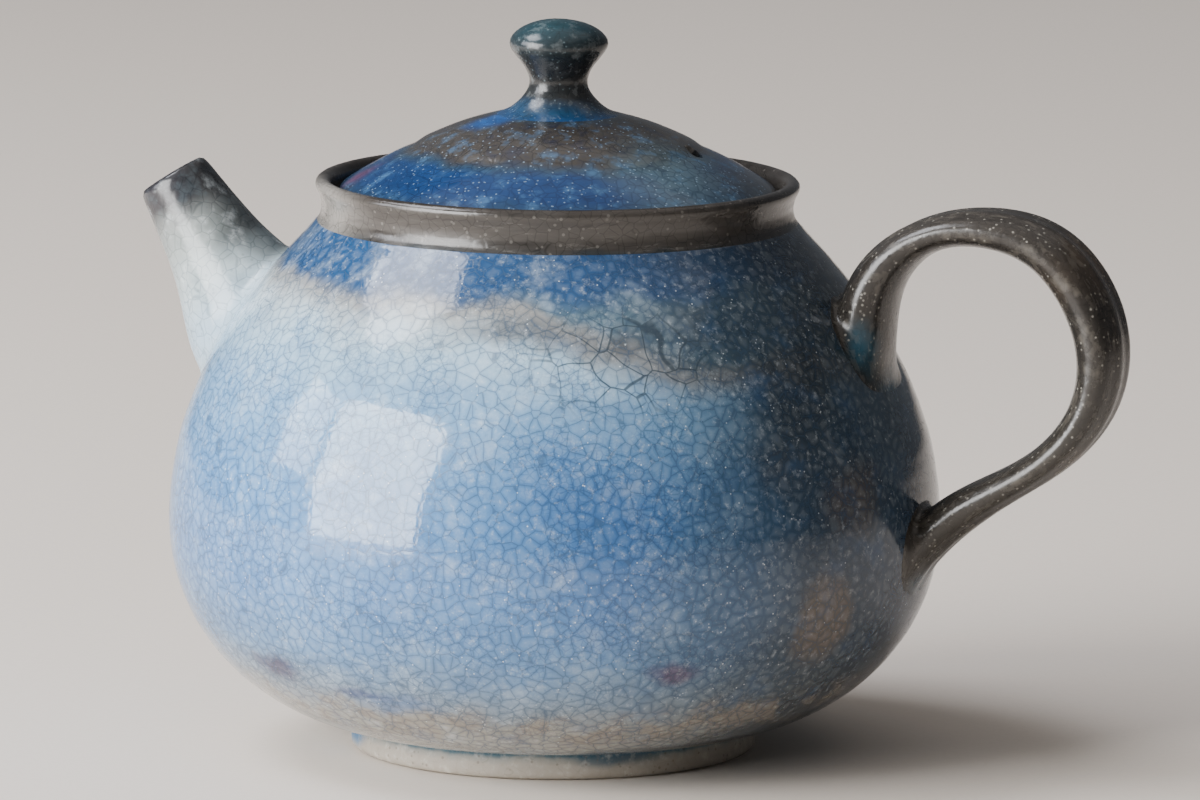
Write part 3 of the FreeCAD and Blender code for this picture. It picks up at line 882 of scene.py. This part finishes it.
bodyLook = {
    "ramp": [  # height up the pot in mm, colour
        (3, "75818a"), (5, "95948e"), (9, "8d897f"), (13, "748390"), (19, "5c7fa3"), (28, "517bab"),
        (40, "5a86b3"), (50, "7099bd"), (57, "92b1c6"), (61, "a3b3bb"),
    ],
    "shoulderLine": {"left": 63.2, "right": 53.6, "from": -14, "to": 25},  # where two glazes overlap
    "aboveLine": "4c6473",
    "cobalt": {"from": 62.6, "to": 65.6, "colour": "143f6a"},
    # the side turned from the window light: darker glaze with painted shade over it
    "darkGlazeAndPaintedShade": {"from": 2, "to": 34, "colour": "2a333a"},
    # angle, height, width, tall, softness, colour, strength
    "blotches": [
        (-67, 36, 19, 20, 0.9, "345a8c", 0.80),
        (-80, 30, 17, 26, 0.9, "4f7aa8", 0.50),
        (-110, 30, 12, 16, 0.9, "6f9ac6", 0.40),
        (-100, 12, 9, 3.2, 0.8, "4b6c98", 0.60),
        (-47, 28, 14, 20, 0.9, "3c5a78", 0.60),
        # painted shadow along the ridge on the shoulder
        (-80, 60, 11, 3.2, 0.9, "5a5e61", 0.80),
        # painted shadow along the ridge on the shoulder, towards the handle
        (-40, 61, 14, 5.0, 0.9, "2c3b47", 0.80),
        (-27, 23, 6.5, 9.5, 0.5, "5f554c", 0.92),
        (-22, 38, 8, 6.5, 0.8, "54493f", 0.60),
        (-36, 44, 7, 5.0, 0.8, "3a3c40", 0.50),
        (-123, 15, 6.5, 2.6, 0.8, "3a2a45", 0.85),
        (-53, 18, 4.5, 2.4, 0.8, "4a304c", 0.80),
        (-106, 13, 6, 1.3, 0.8, "33406b", 0.70),
        # painted shadow along the ridge on the shoulder
        (-62, 59, 8, 3.2, 0.9, "4a4c4e", 0.65),
        # painted shade, deepening the dark side towards the handle
        (-30, 50, 9, 12, 0.9, "262c31", 0.60),
        (150, 40, 26, 20, 0.9, "4f7fb4", 0.60),
        (70, 34, 20, 22, 0.9, "416f9f", 0.60),
        (110, 16, 14, 7, 0.8, "6d6259", 0.60),
        (40, 50, 16, 10, 0.9, "2f4254", 0.60),
    ],
    "darkWay": 17.5,    # degrees from the handle towards the back: the middle of the side with darker glaze and painted shade
    # tint and strength of each mark that the kiln left
    "tints": {
        "onLine": ("7d766d", 0.78),
        "scallop": ("857a6c", 0.75),
        "paleCloud": ("c6d6e2", 0.34),
        "deepCloud": ("3b5f88", 0.38),
        "inside": ("9eabad", 0.92),
        "milk": ("dfe7ec", 0.05),
        "bleeding": ("8c9cb2", 0.24),
        "cellTone": ("bcc8d6", 0.16),
        "fineCrack": ("93a5ba", 0.40),
        "crackLine": ("34485e", 0.46),
        "paleGrain": ("dfe8ee", 0.26),
        "deepGrain": ("27466b", 0.34),
        "arch": ("26343f", 0.75),
        "bubble": ("e8f1f6", 0.55),
        "iron": ("1d2b3c", 0.80),
    },
    "cell": 1.75,       # mm across the cells of the crazing
    "fineCell": 0.95,
    "crack": 0.075,     # mm from the middle of a crack to its edge
    "bleed": 0.34,      # mm that the darker glaze spreads round a crack
    "archCell": 4.6,    # mm, the long cracks on the shoulder
    "archesAt": (-60, 57),
}


def bodyGlaze():
    look = bodyLook
    material, tree, shader, at = newMaterial("crazedBlueGlaze")
    tints = look["tints"]
    loose = strayed(tree, strayed(tree, at, 9.0, 3.2), 2.2, 0.7)
    height = add(tree, "ShaderNodeSeparateXYZ", None, {0: loose}).outputs["Z"]
    # the colour changes with the height, as each dip and run left it
    share = add(tree, "ShaderNodeMapRange", None, {"Value": height, "From Min": 0.0, "From Max": 70.0})
    colour = add(
        tree, "ShaderNodeValToRGB", {"stops": [(h / 70, paint(c)) for h, c in look["ramp"]]}, {0: share})
    # the line on the shoulder where the second dip ends, lower on the darker side
    line = look["shoulderLine"]
    way = math.radians(look["darkWay"])
    side = add(tree, "ShaderNodeVectorMath", {"operation": "DOT_PRODUCT"}, {
        0: loose, 1: (math.cos(way), math.sin(way), 0)}).outputs["Value"]
    fall = mask(tree, (side, line["from"], line["to"]))
    lineAt = add(
        tree, "ShaderNodeMapRange", None, {"Value": fall, "To Min": line["left"], "To Max": line["right"]})
    over = add(tree, "ShaderNodeMath", {"operation": "SUBTRACT"}, {0: height, 1: lineAt})
    colour = wash(tree, colour, look["aboveLine"], mask(tree, (over, 0.2, 2.2)))
    tint, strength = tints["onLine"]
    colour = wash(tree, colour, tint, mask(tree, (over, -3.6, 0.6), (over, 3.4, 0.6)), strength)
    cobalt = look["cobalt"]
    colour = wash(tree, colour, cobalt["colour"], mask(tree, (height, cobalt["from"], cobalt["to"])), 0.95)
    # painted shade: the side turned from the window light is washed dark, partly the glaze's own darker
    # colour and partly painted shade
    dark = look["darkGlazeAndPaintedShade"]
    colour = wash(tree, colour, dark["colour"], mask(tree, (side, dark["from"], dark["to"])), 0.90)
    for angle, up, wide, tall, soft, tint, strength in look["blotches"]:
        spot = blotch(tree, loose, onSkin(angle, up), (wide, wide, tall), soft)
        colour = wash(tree, colour, tint, spot, strength)
    # brown scallops where the glaze thins out over the foot, then clouds of paler and deeper glaze
    patchy = add(tree, "ShaderNodeTexNoise", None, {"Vector": at, "Scale": 1 / 4.5, "Detail": 3.0})
    thin = mask(tree, (height, 5.5, 8.5), (height, 14.0, 10.5), (patchy, 0.44, 0.60))
    cloud = add(tree, "ShaderNodeTexNoise", None, {
        "Vector": at, "Scale": 1 / 5.5, "Detail": 5.0, "Roughness": 0.62})
    within = add(tree, "ShaderNodeAttribute", {"attribute_name": "inside"}).outputs["Fac"]
    for name, where in (
        ("scallop", thin),
        # the pale clouds fade out towards the side with painted shade
        ("paleCloud", mask(tree, (cloud, 0.50, 0.78), (side, 34.0, -4.0))),
        ("deepCloud", mask(tree, (cloud, 0.50, 0.24))),
        ("inside", within),
    ):
        colour = wash(tree, colour, tints[name][0], where, tints[name][1])
    # crazing: the colour has drawn into the cracks and left the middle of each cell milky
    away, tone = crazing(tree, at, look["cell"], 0.30)
    awayFine = crazing(tree, at, look["fineCell"], 0.16)[0]
    awayArch = crazing(tree, at, look["archCell"], 1.6)[0]
    colour = wash(tree, colour, tints["milk"][0], mask(tree, (away, 0.10, 0.62)), tints["milk"][1])
    some = add(tree, "ShaderNodeTexNoise", None, {"Vector": at, "Scale": 1 / 7.0, "Detail": 1.0})
    for name, where in (
        ("bleeding", mask(tree, (away, look["bleed"], 0.0))),
        ("cellTone", mask(tree, (tone, 0.25, 0.95))),
        ("fineCrack", mask(tree, (awayFine, 0.11, 0.02), (some, 0.40, 0.62))),
    ):
        colour = steep(tree, colour, tints[name][0], where, tints[name][1])
    grain = add(
        tree, "ShaderNodeTexNoise", None, {"Vector": at, "Scale": 1 / 0.9, "Detail": 4.0, "Roughness": 0.7})
    shoulder = blotch(tree, at, onSkin(*look["archesAt"]), (17.0, 17.0, 9.0), 0.6)
    arches = add(tree, "ShaderNodeMath", {"operation": "MULTIPLY"}, {
        0: shoulder, 1: mask(tree, (awayArch, 0.13, 0.04))})
    # tiny bubbles broken at the surface, white in the deep blue, and a few dark specks of iron
    dots = add(tree, "ShaderNodeTexVoronoi", {"feature": "F1"}, {"Vector": at, "Scale": 1 / 0.8}).outputs[
        "Distance"]
    sparse = add(tree, "ShaderNodeTexNoise", None, {"Vector": at, "Scale": 1 / 2.4, "Detail": 2.0})
    for name, where in (
        ("crackLine", mask(tree, (away, look["crack"], look["crack"] * 0.35))),
        ("paleGrain", mask(tree, (grain, 0.52, 0.80))),
        ("deepGrain", mask(tree, (grain, 0.48, 0.22))),
        ("arch", arches),
        ("bubble", mask(tree, (dots, 0.16, 0.08), (sparse, 0.52, 0.62))),
        ("iron", mask(tree, (dots, 0.13, 0.07), (sparse, 0.40, 0.33))),
    ):
        colour = wash(tree, colour, tints[name][0], where, tints[name][1])
    tree.links.new(colour.outputs[0], shader.inputs["Base Color"])
    # glassy where it's thick, a touch duller in the cracks
    gloss = add(tree, "ShaderNodeMapRange", None, {
        "Value": away, "From Min": 0.0, "From Max": 0.14, "To Min": 0.24, "To Max": 0.055})
    tree.links.new(gloss.outputs[0], shader.inputs["Roughness"])
    shader.inputs["IOR"].default_value = 1.5
    relief(tree, shader, away, at, 0.0035, 0.05, 9.0)
    return material


# a plainer glaze in one family, for the pieces with less colour: a ground of two tones in clouds or streaks,
# washes where they belong, a fine net of cracks, and specks
def quietGlaze(name, look):
    material, tree, shader, at = newMaterial(name)
    loose = strayed(tree, at, look.get("strayGrain", 5.0), look.get("stray", 1.2))
    stretched = add(
        tree, "ShaderNodeVectorMath", {"operation": "MULTIPLY"}, {0: at, 1: look.get("stretch", (1, 1, 1))})
    cloud = add(tree, "ShaderNodeTexNoise", None, {
        "Vector": stretched, "Scale": 1 / look["cloud"], "Detail": 5.0, "Roughness": 0.6})
    if "alongFrom" in look:  # the ground changes along a line from one place to another
        start, end = Vector(look["alongFrom"]), Vector(look["alongTo"])
        run = (end - start).normalized()
        off = add(tree, "ShaderNodeVectorMath", {"operation": "SUBTRACT"}, {0: loose, 1: start})
        along = add(tree, "ShaderNodeVectorMath", {"operation": "DOT_PRODUCT"}, {0: off, 1: run}).outputs[
            "Value"]
        share = add(tree, "ShaderNodeMapRange", None, {
            "Value": along, "From Min": 0.0, "From Max": (end - start).length})
    elif "outFrom" in look:  # or outwards from the turning axis
        flat = add(tree, "ShaderNodeVectorMath", {"operation": "MULTIPLY"}, {0: loose, 1: (1, 1, 0)})
        out = add(tree, "ShaderNodeVectorMath", {"operation": "LENGTH"}, {0: flat}).outputs["Value"]
        share = add(tree, "ShaderNodeMapRange", None, {
            "Value": out, "From Min": look["outFrom"], "From Max": look["outTo"]})
    else:
        up = add(tree, "ShaderNodeSeparateXYZ", None, {0: loose}).outputs["Z"]
        share = add(tree, "ShaderNodeMapRange", None, {
            "Value": up, "From Min": look["upFrom"], "From Max": look["upTo"]})
    colour = add(tree, "ShaderNodeValToRGB", {"stops": [(s, paint(c)) for s, c in look["ramp"]]}, {0: share})
    for centre, size, soft, tint, strength in look.get("blotches", []):
        colour = wash(tree, colour, tint, blotch(tree, loose, centre, size, soft), strength)
    colour = wash(tree, colour, look["pale"], mask(tree, (cloud, 0.50, 0.74)), look["clouding"])
    colour = wash(tree, colour, look["deep"], mask(tree, (cloud, 0.50, 0.28)), look["clouding"])
    away = crazing(tree, at, look["cell"], look["cell"] * 0.18)[0]
    colour = steep(
        tree, colour, look["cracks"], mask(tree, (away, look["crackWidth"], 0.0)), look["cracking"])
    dots = add(tree, "ShaderNodeTexVoronoi", {"feature": "F1"}, {"Vector": at, "Scale": 1 / look["speck"]})
    grey = add(tree, "ShaderNodeSeparateColor", None, {"Color": dots.outputs["Color"]})
    speck = mask(tree, (dots.outputs["Distance"], 0.30, 0.16), (grey.outputs["Green"], 0.62, 0.66))
    colour = wash(tree, colour, look["speckTint"], speck, look["specking"])
    tree.links.new(colour.outputs[0], shader.inputs["Base Color"])
    low, high = look["roughness"]
    gloss = add(tree, "ShaderNodeMapRange", None, {
        "Value": cloud, "From Min": 0.35, "From Max": 0.65, "To Min": low, "To Max": high})
    tree.links.new(gloss.outputs[0], shader.inputs["Roughness"])
    shader.inputs["IOR"].default_value = 1.5
    relief(tree, shader, away, at, look["pillow"], look["waves"], look["waveGrain"])
    return material


# the collar: a thin grey-brown glaze on thrown stoneware, so it's satin and streaked round by the wheel, with
# a painted highlight on the window side and painted shade towards the handle

collarLook = {
    "upFrom": 69.0, "upTo": 75.0,
    "ramp": [(0.0, "1e272c"), (0.14, "3a3734"), (0.6, "45413d"), (0.86, "3f3b37"), (1.0, "2f2a26")],
    "blotches": [
        # painted shade on the side towards the handle
        ((30.0, -6.0, 72.0), (13, 20, 12), 0.9, "2f2d2c", 0.80),
        # lighter painted shade at the front
        ((6.0, -31.0, 72.0), (13, 12, 12), 0.9, "33312f", 0.55),
        # painted highlight on the side towards the window light
        ((-26.0, -18.0, 72.0), (14, 14, 12), 0.9, "8b8781", 0.75),
    ],
    "cloud": 2.2, "stretch": (0.35, 0.35, 2.2), "clouding": 0.35, "pale": "625e59", "deep": "272422",
    "cell": 1.5, "crackWidth": 0.09, "cracks": "6d6a66", "cracking": 0.45,
    "speck": 0.9, "speckTint": "8d8983", "specking": 0.25,
    "roughness": (0.16, 0.28), "pillow": 0.008, "waves": 0.05, "waveGrain": 5.0,
}

# the spout: a thin pale blue-grey glaze, satin, burnt dark at its mouth and along its top

tipMm, rootMm = tuple(tipMiddle / mm), tuple(root / mm)
spoutLook = {
    "alongFrom": rootMm, "alongTo": tipMm,
    "ramp": [(0.0, "9fb6c6"), (0.25, "a0aeb2"), (0.5, "929a98"), (0.70, "7d817f"), (0.82, "333235"), (
        1.0, "2c2b2f")],
    "blotches": [
        ((tipMm[0] + 5.5, 0.0, tipMm[2] + 0.5), (7.5, 9.0, 9.0), 0.8, "2c2d2f", 0.92),
        ((tipMm[0] + 10.0, -1.0, tipMm[2] - 6.5), (6.0, 9.0, 7.0), 0.8, "2f3233", 0.88),
        ((tipMm[0] + 15.0, 0.0, tipMm[2] - 9.5), (6.0, 9.0, 5.0), 0.9, "4f5452", 0.80),
    ],
    "stray": 1.4,
    "cloud": 3.0, "clouding": 0.30, "pale": "d5dcdd", "deep": "5d6a70",
    "cell": 1.7, "crackWidth": 0.12, "cracks": "7c8890", "cracking": 0.40,
    "speck": 0.9, "speckTint": "4a5358", "specking": 0.25,
    "roughness": (0.16, 0.28), "pillow": 0.012, "waves": 0.08, "waveGrain": 6.0,
}

# the handle: a pulled strap under a dark satin glaze, which breaks brown where it thins on the ridges

handleTop = Vector((bellyRadius + handleSizes["reach"] * 0.4, 0, loopTop)) / mm
handleLook = {
    "upFrom": 20.0, "upTo": 76.0,
    "ramp": [(0.0, "35322e"), (0.25, "38342f"), (0.5, "302d29"), (0.8, "2c2926"), (1.0, "37332f")],
    "blotches": [
        ((skinAt(0.0560) / mm + 1.0, -5.0, 55.0), (3.0, 5.0, 6.0), 0.8, "1f4a5c", 0.85),
        ((skinAt(0.0560) / mm + 1.0, 5.0, 55.0), (3.0, 5.0, 6.0), 0.8, "1f4a5c", 0.85),
        ((skinAt(0.0500) / mm, 0.0, 49.0), (4.5, 8.0, 5.0), 0.9, "3e5f73", 0.70),
        ((skinAt(0.0240) / mm + 0.5, 0.0, 24.0), (3.5, 8.0, 5.0), 0.9, "47606f", 0.60),
        ((70.0, 0.0, 66.0), (7.0, 8.0, 8.0), 0.9, "6b5a48", 0.45),
        ((72.0, 0.0, 40.0), (6.0, 8.0, 7.0), 0.9, "6b5d4e", 0.40),
    ],
    "cloud": 2.4, "stretch": (1.0, 2.6, 1.0), "clouding": 0.40, "pale": "6f695f", "deep": "1f1d1b",
    "cell": 1.4, "crackWidth": 0.08, "cracks": "5f5a55", "cracking": 0.35,
    "speck": 0.7, "speckTint": "c4c0b5", "specking": 0.32,
    "roughness": (0.18, 0.32), "pillow": 0.008, "waves": 0.07, "waveGrain": 3.0,
}

# the lid: cobalt glaze that ran and pooled, glossy and deep, round a dry-looking grey boss

lidLook = {
    "outFrom": 5.0, "outTo": 29.0,
    "ramp": [(0.0, "1c3654"), (0.11, "27323c"), (0.20, "34312e"), (0.42, "3f3b37"), (0.57, "393633"), (
        0.63, "283b4e"),
             (0.70, "12335d"), (0.86, "113059"), (0.95, "1b3550"), (1.0, "262f37")],
    "blotches": [
        ((20.0, -10.0, 77.0), (13, 15, 9), 0.9, "53666e", 0.80),
        ((27.0, 3.0, 75.0), (11, 18, 8), 0.9, "3c4145", 0.80),
        ((2.0, 23.0, 77.0), (20, 12, 9), 0.9, "5d7d99", 0.60),
        ((-23.5, -10.5, 75.0), (4.5, 4.5, 4), 0.9, "58304f", 0.85),
        ((-18.0, 14.0, 77.0), (12, 10, 9), 0.9, "1e5592", 0.60),
        ((-6.5, -6.0, 83.0), (5, 5, 4), 0.8, "1a5596", 0.90),
    ],
    "strayGrain": 6.0, "stray": 2.4,
    "cloud": 3.0, "clouding": 0.40, "pale": "4f7ba3", "deep": "0a2040",
    "cell": 1.5, "crackWidth": 0.16, "cracks": "6c809a", "cracking": 0.42,
    "speck": 0.55, "speckTint": "a9c4dc", "specking": 0.30,
    "roughness": (0.10, 0.22), "pillow": 0.008, "waves": 0.05, "waveGrain": 6.0,
}

# the knob: charcoal satin glaze, teal where it lies thicker on the crown

knobLook = {
    "upFrom": 82.5, "upTo": 96.0,
    "ramp": [(0.0, "163f70"), (0.12, "1c3a54"), (0.24, "222425"), (0.55, "262728"), (0.78, "202a2e"), (
        0.9, "1c353d"), (1.0, "24424a")],
    "blotches": [((6.0, 2.0, 86.0), (5, 6, 6), 0.9, "3b3a39", 0.80)],
    "stray": 1.0,
    "cloud": 1.8, "clouding": 0.35, "pale": "7a8081", "deep": "1d2326",
    "cell": 1.3, "crackWidth": 0.08, "cracks": "6b7274", "cracking": 0.35,
    "speck": 0.55, "speckTint": "8fa3a9", "specking": 0.22,
    "roughness": (0.18, 0.30), "pillow": 0.010, "waves": 0.07, "waveGrain": 4.0,
}

# the strainer and the lid's flange: pale liner glaze, poured in and out, so it's glossy and even

linerLook = {
    "upFrom": 40.0, "upTo": 75.0,
    "ramp": [(0.0, "9fb0b4"), (0.5, "a5b1b2"), (1.0, "8f9796")],
    "cloud": 3.0, "clouding": 0.30, "pale": "c6cfcf", "deep": "6f7f84",
    "cell": 1.7, "crackWidth": 0.10, "cracks": "7b888c", "cracking": 0.45,
    "speck": 1.1, "speckTint": "5d574f", "specking": 0.30,
    "roughness": (0.16, 0.28), "pillow": 0.010, "waves": 0.05, "waveGrain": 5.0,
}

# the foot: stoneware wiped clean of glaze, so it's matt and sandy, with a run that reached it

footLook = {
    "upFrom": 0.0, "upTo": 3.6,
    # the bare stoneware's colour, set darker as painted shade under the belly
    "ramp": [(0.0, "958d81"), (0.55, "9b9489"), (0.76, "878882"), (0.9, "3b5a66"), (1.0, "2b4a5a")],
    "blotches": [
        ((-23.0, -13.0, 2.4), (6.5, 6.5, 2.2), 0.7, "2f6187", 0.90),
        ((16.0, -21.0, 2.8), (10.0, 7.0, 1.6), 0.8, "2b4a5c", 0.80),
        ((20.0, 14.0, 2.6), (9.0, 7.0, 1.6), 0.8, "44697e", 0.70),
    ],
    "strayGrain": 3.0, "stray": 0.5,
    "cloud": 1.6, "clouding": 0.35, "pale": "d3cdc3", "deep": "857b6d",
    "cell": 2.2, "crackWidth": 0.03, "cracks": "8b8478", "cracking": 0.2,
    "speck": 0.8, "speckTint": "5b4f42", "specking": 0.45,
    "roughness": (0.62, 0.78), "pillow": 0.004, "waves": 0.05, "waveGrain": 1.2,
}

glazes = {
    "body_glaze": bodyGlaze(),
    "foot_clay": quietGlaze("bareStoneware", footLook),
    "collar_glaze": quietGlaze("greyBrownGlaze", collarLook),
    "spout_glaze": quietGlaze("paleBlueGreyGlaze", spoutLook),
    "handle_glaze": quietGlaze("darkStrapGlaze", handleLook),
    "lid_glaze": quietGlaze("pooledCobaltGlaze", lidLook),
    "knob_glaze": quietGlaze("charcoalTealGlaze", knobLook),
    "inner_glaze": quietGlaze("paleLinerGlaze", linerLook),
}
print("glazes mixed:", len(glazes))


# putting the pot together

def fit(piece, body, nodes, material):
    piece.data.materials.clear()
    piece.data.materials.append(material)
    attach(piece, body)
    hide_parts(*nodes)


fit(potWall, "pot", ["body"], glazes["body_glaze"])
fit(footRing, "pot", ["foot_ring"], glazes["foot_clay"])
fit(collarRing, "pot", ["collar"], glazes["collar_glaze"])
fit(spoutTube, "pot", ["spout", "spout_joint_coil"], glazes["spout_glaze"])
fit(strainerDome, "pot", ["strainer"], glazes["inner_glaze"])
fit(strapHandle, "pot", [
    "handle", "handle_upper_joint_coil", "handle_lower_joint_coil"], glazes["handle_glaze"])
fit(lidPlate, "lid", ["lid_plate"], glazes["lid_glaze"])
fit(lidFlange, "lid", ["lid_flange"], glazes["inner_glaze"])
fit(knobTurned, "lid", ["knob"], glazes["knob_glaze"])
print("pieces fitted")


# table, light and camera

# a direction seen from the pot: degrees to the left of the camera, degrees up
def towards(left, up):
    a, e = viewAngle - math.radians(left), math.radians(up)
    return Vector((math.sin(a) * math.cos(e), -math.cos(a) * math.cos(e), math.sin(e)))


bm = bmesh.new()
bmesh.ops.create_grid(bm, x_segments=60, y_segments=60, size=2.4)
tableMesh = bpy.data.meshes.new("tableTop")
bm.to_mesh(tableMesh)
bm.free()
tableTop = newPiece("tableTop", tableMesh)
tableTop.location.z = -0.00005
tablePaper = bpy.data.materials.new("tablePaper")
tablePaper.use_nodes = True
shader = tablePaper.node_tree.nodes["Principled BSDF"]
shader.inputs["Roughness"].default_value = 0.7
paperTree = tablePaper.node_tree
paperAt = add(paperTree, "ShaderNodeTexCoord").outputs["Object"]
fibres = add(paperTree, "ShaderNodeTexNoise", None, {"Vector": paperAt, "Scale": 900.0, "Detail": 3.0})
paper = wash(paperTree, paint("e2d8cd"), "c9beb2", mask(paperTree, (fibres, 0.4, 0.7)), 0.08)
paperTree.links.new(paper.outputs[0], shader.inputs["Base Color"])
tableMesh.materials.append(tablePaper)

lights = {
    "window": {
        "left": 58, "up": 17, "away": 1.2, "width": 0.80, "height": 0.86, "watts": 40, "tint": "ffffff"},
    "sidePane": {
        "left": 89, "up": 22, "away": 1.3, "width": 0.34, "height": 0.50, "watts": 6, "tint": "f4f7ff"},
    "ceiling": {
        "left": 0, "up": 89.9, "away": 1.7, "width": 2.6, "height": 2.6, "watts": 9, "tint": "fff4ea"},
    "highLight": {
        "left": 100, "up": 56, "away": 1.3, "width": 0.7, "height": 0.5, "watts": 13, "tint": "f6f8ff"},
}
aim = Vector((0, 0, 0.045))
for name, light in lights.items():
    lamp = bpy.data.lights.new(name, "AREA")
    lamp.shape = "RECTANGLE"
    lamp.size, lamp.size_y = light["width"], light["height"]
    lamp.energy = light["watts"]
    lamp.color = paint(light["tint"])[:3]
    stand = bpy.data.objects.new(name, lamp)
    bpy.context.scene.collection.objects.link(stand)
    way = towards(light["left"], light["up"])
    stand.location = aim + way * light["away"]
    stand.rotation_euler = way.to_track_quat("Z", "Y").to_euler()

print("lights hung:", len(lights))

room = bpy.data.worlds.new("room")
room.use_nodes = True
room.node_tree.nodes["Background"].inputs["Color"].default_value = paint("cfd2d8")
room.node_tree.nodes["Background"].inputs["Strength"].default_value = 0.20
bpy.context.scene.world = room

cameraSizes = {"up": 9.0, "roll": 0.55, "away": 1.5, "lens": 344.7, "aimHeight": 0.0456, "aimRight": 0.0059}
lens = bpy.data.cameras.new("camera")
lens.lens = cameraSizes["lens"]
lens.sensor_width = 36
lens.clip_start, lens.clip_end = 0.05, 20
camera = bpy.data.objects.new("camera", lens)
bpy.context.scene.collection.objects.link(camera)
back = towards(0, cameraSizes["up"])
right = Vector((math.cos(viewAngle), math.sin(viewAngle), 0))
camera.location = Vector((0, 0, cameraSizes["aimHeight"])) + right * cameraSizes[
    "aimRight"] + back * cameraSizes["away"]
facing = Matrix((right, back.cross(right), back)).transposed()
camera.rotation_euler = (facing @ Matrix.Rotation(math.radians(cameraSizes["roll"]), 3, "Z")).to_euler()
bpy.context.scene.camera = camera

for thing in list(bpy.data.objects):
    if thing.name in ("Cube", "Light", "Camera"):
        bpy.data.objects.remove(thing)
